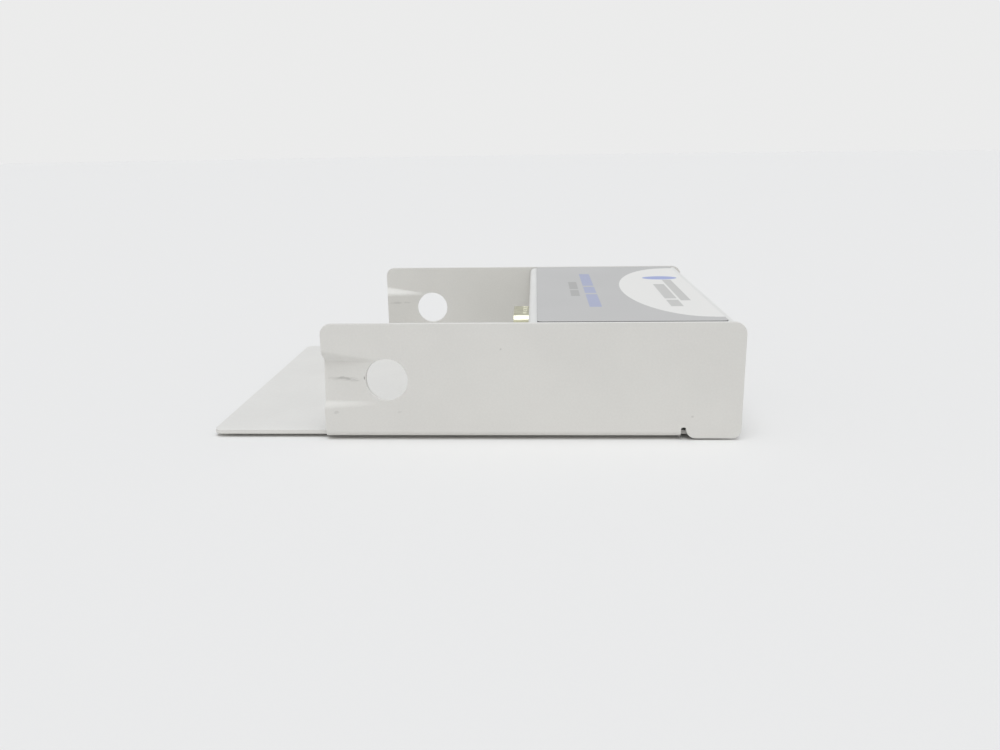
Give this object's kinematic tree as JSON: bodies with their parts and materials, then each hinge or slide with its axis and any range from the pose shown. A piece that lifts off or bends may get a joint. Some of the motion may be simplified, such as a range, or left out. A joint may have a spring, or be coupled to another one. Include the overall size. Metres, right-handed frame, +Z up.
{
  "type": "slide-in module carrier",
  "caption": "Open-fronted folded-sheet carrier that holds one slide-in measurement module between two latching side walls and links it to a host port at the rear.",
  "frame": {"origin": "middle of the footprint's length and width, on the surface the carrier stands on, under its foot pads", "axes": "+X from the loading tongue to the rear panel, the way the module slides in; +Y across the width; +Z up"},
  "size_m": [0.1228, 0.091, 0.0275],
  "materials": {
    "cradle_paint": "light warm grey powder coat, fine orange-peel texture",
    "cover_paint": "light grey powder coat, fine orange-peel texture",
    "label_film": null,
    "pad_rubber": "thin black anti-slip rubber",
    "screw_steel": "zinc-plated steel",
    "plug_steel": "pressed steel with a faintly yellow passivated plating",
    "plug_plastic": "moulded black glass-filled plastic",
    "contact_gold": "gold-flashed contacts",
    "board_green": "glass-epoxy board with green solder mask",
    "chip_black": "moulded epoxy",
    "crystal_steel": "drawn steel can",
    "transformer_body": "moulded shroud",
    "capacitor_aluminium": "aluminium can",
    "capacitor_ceramic": "tan ceramic",
    "port_steel": "tin-plated steel",
    "port_plastic": "moulded white plastic",
    "lamp_body": "tinted lamp bodies",
    "guide_plastic": "clear moulded polycarbonate, milky"
  },
  "bodies": {
    "root": {"cradle": "cradle_paint", "electronics_cover": "cover_paint", "top_label": "label_film", "foot_pads": "pad_rubber", "cover_front_screws": "screw_steel", "cover_front_nuts": "screw_steel", "cover_rear_screws": "screw_steel", "cover_rear_nuts": "screw_steel", "board_screws": "screw_steel", "board_standoffs": "screw_steel", "plug_screws": "screw_steel", "plug_nuts": "screw_steel", "cable_lock_nut": "screw_steel", "main_board": "board_green", "controller_chip": "chip_black", "isolator_chips": "chip_black", "crystal": "crystal_steel", "transformer": "transformer_body", "can_capacitors": "capacitor_aluminium", "chip_capacitors": "capacitor_ceramic", "plug_shell": "plug_steel", "plug_pins": "contact_gold", "plug_insulator": "plug_plastic", "port_shell": "port_steel", "port_insulator": "port_plastic", "port_contacts": "contact_gold", "status_lamps": "lamp_body", "light_guides": "guide_plastic"}
  },
  "joints": []
}
